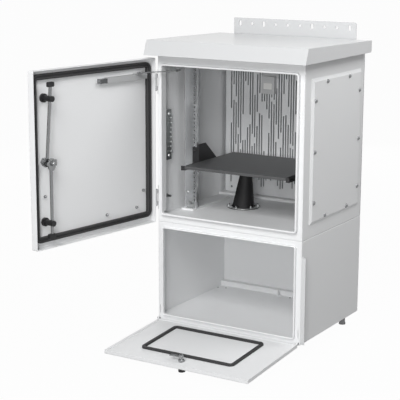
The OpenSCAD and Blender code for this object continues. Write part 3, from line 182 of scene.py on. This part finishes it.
def back_sheet(name, outside, inside, rough):
    """Painted sheet whose front, towards the cabinet's interior, is darker: painted shade for the
    cavity behind the slotted plate.
    """
    material, tree, shader = new_material(name)
    place = tree.nodes.new("ShaderNodeTexCoord")
    parts = tree.nodes.new("ShaderNodeSeparateXYZ")
    shade_mask = tree.nodes.new("ShaderNodeMath")
    shade_mask.operation = "LESS_THAN"
    shade_mask.inputs[1].default_value = FRONT_NORMAL_Y
    mix = tree.nodes.new("ShaderNodeMix")
    mix.data_type = "RGBA"
    mix.inputs["A"].default_value = (*outside, 1.0)
    mix.inputs["B"].default_value = (*inside, 1.0)
    tree.links.new(place.outputs["Normal"], parts.inputs["Vector"])
    tree.links.new(parts.outputs["Y"], shade_mask.inputs[0])
    tree.links.new(shade_mask.outputs["Value"], mix.inputs["Factor"])
    tree.links.new(mix.outputs["Result"], shader.inputs["Base Color"])
    shader.inputs["Roughness"].default_value = rough
    return material


def make_materials():
    """One material for each slot of the record and for each look in LOOKS."""
    finishes = {
        "body_paint": (paint, dict(colour=BODY_COLOUR, rough=0.42)),
        # The roof paint is the body's grey made darker: painted shade that tones down the roof's
        # stronger light
        "roof_paint": (paint, dict(colour=(0.598, 0.605, 0.612), rough=0.30, coat=0.3)),
        # The back sheet's darker front colour is painted shade for the cavity behind the slotted plate
        "back_sheet": (back_sheet, dict(outside=BODY_COLOUR, inside=(0.28, 0.29, 0.30), rough=0.42)),
        "zinc": (metal, dict(colour=(0.60, 0.61, 0.61), rough=0.34)),
        "rod_zinc": (metal, dict(colour=(0.27, 0.275, 0.28), rough=0.24)),
        "plate_zinc": (metal, dict(colour=(0.80, 0.81, 0.82), rough=0.45, metallic=0.35)),
        "channel_zinc": (metal, dict(colour=(0.43, 0.435, 0.44), rough=0.45, metallic=0.2)),
        "rail_zinc": (metal, dict(colour=(0.52, 0.53, 0.54), rough=0.16, streak=0.04, metallic=0.7)),
        "zinc_dark": (metal, dict(colour=(0.24, 0.25, 0.25), rough=0.34)),
        "screw_zinc": (metal, dict(colour=(0.20, 0.205, 0.21), rough=0.26, metallic=0.6)),
        "lock_chrome": (metal, dict(colour=(0.34, 0.345, 0.35), rough=0.12, streak=0.03)),
        "hinge_zinc": (metal, dict(colour=(0.50, 0.505, 0.51), rough=0.38, metallic=0.4)),
        "box_plastic": (plastic, dict(colour=(0.60, 0.605, 0.61), rough=0.45)),
        "grey_plastic": (plastic, dict(colour=(0.42, 0.42, 0.43), rough=0.5)),
        "dark_paint": (paint, dict(colour=(0.065, 0.066, 0.068), rough=0.45)),
        "black_paint": (paint, dict(colour=(0.014, 0.014, 0.015), rough=0.45)),
        "black_plastic": (plastic, dict(colour=(0.016, 0.016, 0.017), rough=0.45, shine=0.35)),
        "rubber": (plastic, dict(colour=(0.029, 0.029, 0.030), rough=0.6, bump=0.1, shine=0.32)),
        "boot_rubber": (plastic, dict(colour=(0.015, 0.015, 0.016), rough=0.6, bump=0.1, shine=0.28)),
        "white_plastic": (plastic, dict(colour=(0.85, 0.85, 0.83), rough=0.3)),
    }
    return {name: make(name, **values) for name, (make, values) in finishes.items()}


# Pieces that look different from the rest of their slot
LOOKS = {
    "stay_channel": "channel_zinc",
    "stay_block": "screw_zinc",
    "stay_arm": "screw_zinc",
    "flap_lock": "lock_chrome",
    "side_cover_screws": "screw_zinc",
    "earth_bar_screws": "zinc",
    "hinge_body_leaves": "hinge_zinc",
    "hinge_door_leaves": "hinge_zinc",
    "control_box": "box_plastic",
    # The feet are black plastic, shown in lighter grey plastic: painted light from the bright
    # surroundings
    "feet": "grey_plastic",
    "cable_boot": "boot_rubber",
}


def dress(materials):
    """Gives each CAD node its look from LOOKS, or else the material of its slot."""
    for part in frame["record"]["subparts"]:
        mesh = nodes[part["node"]].data
        mesh.materials.clear()
        mesh.materials.append(materials[LOOKS.get(part["node"], part["material_slot"])])


# Small screws

HEAD_SIDES = 20
# Height and radius of each ring of a head, as shares of the head's own
HEAD_RINGS = [(0.0, 1.0), (0.45, 1.0), (0.8, 0.8), (1.0, 0.35)]

FLOOR_SCREW_PLACES = [(-0.258, 0.189), (-0.290, 0.180), (0.028, 0.202)]
FLOOR_SCREW_RADIUS = 0.0035
FLOOR_SCREW_HEIGHT = 0.002

RAIL_SCREW_X = 0.243
# Above the rail's lower end
RAIL_SCREW_RISE = 0.018
RAIL_SCREW_RADIUS = 0.0045
RAIL_SCREW_HEIGHT = 0.003
# Thickness of the fixing angle in front of the rail
ANGLE_SHEET = 0.002


def screw_head(name, at, along, radius, height, body, slot, materials):
    """Low round screw head with a domed top, seated on a face."""
    angles = [2 * math.pi * k / HEAD_SIDES for k in range(HEAD_SIDES)]
    points = [(share * radius * math.cos(a), share * radius * math.sin(a), rise * height)
              for rise, share in HEAD_RINGS for a in angles]
    top = (len(HEAD_RINGS) - 1) * HEAD_SIDES
    faces = []
    for low in range(0, top, HEAD_SIDES):
        high = low + HEAD_SIDES
        for k in range(HEAD_SIDES):
            after = (k + 1) % HEAD_SIDES
            faces.append((low + k, low + after, high + after, high + k))
    faces.append(tuple(reversed(range(HEAD_SIDES))))
    faces.append(tuple(range(top, top + HEAD_SIDES)))
    mesh = bpy.data.meshes.new(name)
    mesh.from_pydata(points, [], faces)
    mesh.materials.append(materials[slot])
    head = bpy.data.objects.new(name, mesh)
    head.location = at
    head.rotation_mode = "QUATERNION"
    head.rotation_quaternion = Vector(along).to_track_quat("Z", "Y")
    scene.collection.objects.link(head)
    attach(head, body)


def add_screws(materials):
    """Screws on the lower compartment's floor, on which its sill stands, and on the rails' feet."""
    floor_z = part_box("rear_sill")[0].z
    for k, (x, y) in enumerate(FLOOR_SCREW_PLACES):
        screw_head(f"floor_screw_{k}", (x, y, floor_z), (0, 0, 1),
                   FLOOR_SCREW_RADIUS, FLOOR_SCREW_HEIGHT, "cabinet", "zinc_dark", materials)
    rail_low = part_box("left_rail")[0]
    y = rail_low.y - ANGLE_SHEET
    z = rail_low.z + RAIL_SCREW_RISE
    for side, x in (("left", -RAIL_SCREW_X), ("right", RAIL_SCREW_X)):
        screw_head(f"rail_foot_screw_{side}", (x, y, z), (0, -1, 0),
                   RAIL_SCREW_RADIUS, RAIL_SCREW_HEIGHT, "cabinet", "zinc_dark", materials)


# Studio

WHITE = (1.0, 1.0, 1.0, 1.0)
FLOOR_GREY = (0.38, 0.38, 0.38, 1.0)
FLOOR_ROUGH = 0.8
# Half of the floor's width
FLOOR_REACH = 30.0
# Keeps the floor off the feet's flat undersides
FLOOR_DROP = 0.0004
# Plain white in what is seen of the floor; the rest shows the shadow
FLOOR_WHITE_SHARE = 0.975
WORLD_STRENGTH = 0.08


def background_seen(tree):
    """1 for the rays that see the background: from the camera, reflected or through glass."""
    path = tree.nodes.new("ShaderNodeLightPath")
    first = tree.nodes.new("ShaderNodeMath")
    first.operation = "MAXIMUM"
    second = tree.nodes.new("ShaderNodeMath")
    second.operation = "MAXIMUM"
    tree.links.new(path.outputs["Is Camera Ray"], first.inputs[0])
    tree.links.new(path.outputs["Is Glossy Ray"], first.inputs[1])
    tree.links.new(first.outputs["Value"], second.inputs[0])
    tree.links.new(path.outputs["Is Transmission Ray"], second.inputs[1])
    return second.outputs["Value"]


def area_light(name, at, target, size, power):
    """Soft rectangular white light that faces a point, with its power in watts."""
    data = bpy.data.lights.new(name, "AREA")
    data.shape = "RECTANGLE"
    data.size, data.size_y = size
    data.energy = power
    light = bpy.data.objects.new(name, data)
    light.location = at
    light.rotation_mode = "QUATERNION"
    light.rotation_quaternion = (Vector(target) - Vector(at)).to_track_quat("-Z", "Y")
    scene.collection.objects.link(light)
    return light


def make_floor():
    """Plain pale floor that runs out of the picture."""
    mesh = bpy.data.meshes.new("floor")
    far = FLOOR_REACH
    corners = [(-far, -far, 0), (far, -far, 0), (far, far, 0), (-far, far, 0)]
    mesh.from_pydata(corners, [], [(0, 1, 2, 3)])
    floor = bpy.data.objects.new("floor", mesh)
    floor.location.z = -FLOOR_DROP
    scene.collection.objects.link(floor)
    material, tree, shader = new_material("floor_white")
    shader.inputs["Base Color"].default_value = FLOOR_GREY
    shader.inputs["Roughness"].default_value = FLOOR_ROUGH
    shader.inputs["Specular IOR Level"].default_value = 0.0
    white = add(tree, "ShaderNodeEmission", Color=WHITE, Strength=1.0)
    share = tree.nodes.new("ShaderNodeMath")
    share.operation = "MULTIPLY"
    share.inputs[1].default_value = FLOOR_WHITE_SHARE
    mix = tree.nodes.new("ShaderNodeMixShader")
    tree.links.new(background_seen(tree), share.inputs[0])
    tree.links.new(share.outputs["Value"], mix.inputs["Fac"])
    tree.links.new(shader.outputs["BSDF"], mix.inputs[1])
    tree.links.new(white.outputs["Emission"], mix.inputs[2])
    tree.links.new(mix.outputs["Shader"], tree.nodes["Material Output"].inputs["Surface"])
    mesh.materials.append(material)


def make_world():
    """Faint even light from all round; plain white where the background is seen past the floor."""
    world = bpy.data.worlds.new("studio")
    world.use_nodes = True
    scene.world = world
    tree = world.node_tree
    back = tree.nodes["Background"]
    back.inputs["Color"].default_value = WHITE
    back.inputs["Strength"].default_value = WORLD_STRENGTH
    plain = add(tree, "ShaderNodeBackground", Color=WHITE, Strength=1.0)
    mix = tree.nodes.new("ShaderNodeMixShader")
    tree.links.new(background_seen(tree), mix.inputs["Fac"])
    tree.links.new(back.outputs["Background"], mix.inputs[1])
    tree.links.new(plain.outputs["Background"], mix.inputs[2])
    tree.links.new(mix.outputs["Shader"], tree.nodes["World Output"].inputs["Surface"])


def make_lights():
    """A wide light high in front, one beside the camera, one high on the right and one behind."""
    area_light("front_high", at=(0.6, -3.8, 3.6), target=(0, 0, 0.4), size=(2.4, 2.0), power=160.0)
    area_light("near_camera", at=(1.7, -4.6, 1.3), target=(0, 0, 0.6), size=(1.4, 1.2), power=80.0)
    area_light("side", at=(1.2, 0.2, 2.3), target=(0.3, 0, 1.0), size=(1.0, 1.0), power=20.5)
    behind = area_light("behind", at=(-2.2, 3.6, 0.9), target=(0, 0, 0.6), size=(2.0, 1.0), power=70.0)
    behind.visible_glossy = False


scene.view_settings.view_transform = "Standard"
make_camera()
materials = make_materials()
dress(materials)
add_screws(materials)
make_floor()
make_world()
make_lights()
